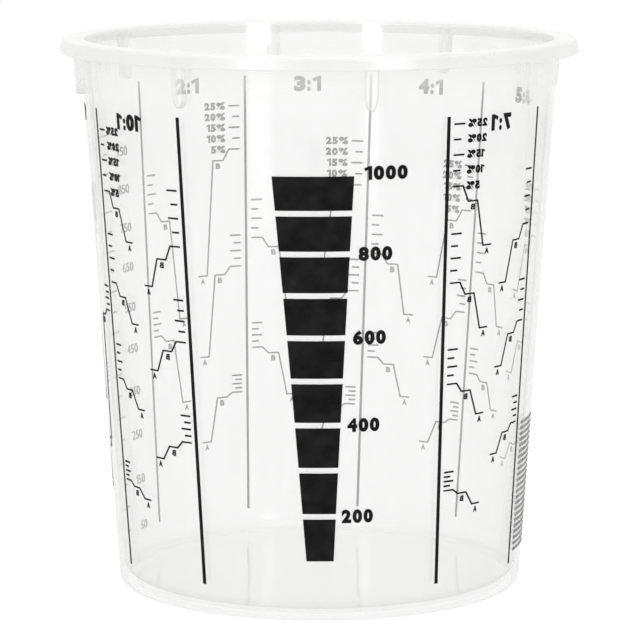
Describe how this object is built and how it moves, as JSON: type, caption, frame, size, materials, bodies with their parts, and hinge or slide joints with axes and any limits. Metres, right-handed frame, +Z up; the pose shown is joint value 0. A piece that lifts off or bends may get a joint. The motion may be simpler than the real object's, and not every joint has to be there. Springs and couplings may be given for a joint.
{
  "type": "resin mixing cup",
  "caption": "Tapered translucent measuring cup for mixing two-part resin, with flanged rim, stacking lugs and printed volume and mixing-ratio scales.",
  "frame": {"origin": "centre of the cup's base, on the plane it stands on", "axes": "+Z up along the cup's axis; -Y faces the picture's camera and carries the fill gauge"},
  "size_m": [0.1308, 0.1308, 0.139],
  "materials": {
    "clear_polypropylene": "smooth translucent moulded polypropylene, glossy inside and out, faintly milky",
    "black_ink": "opaque black screen-printing ink, satin"
  },
  "bodies": {
    "root": {"cup_body": "clear_polypropylene", "panel_rules": "black_ink", "volume_scale": "black_ink", "ratio_1_1": "black_ink", "ratio_2_1": "black_ink", "ratio_3_1": "black_ink", "ratio_4_1": "black_ink", "ratio_5_1": "black_ink", "ratio_7_1": "black_ink", "ratio_10_1": "black_ink", "rung_ladder": "black_ink", "fill_gauge": "black_ink"}
  },
  "joints": []
}
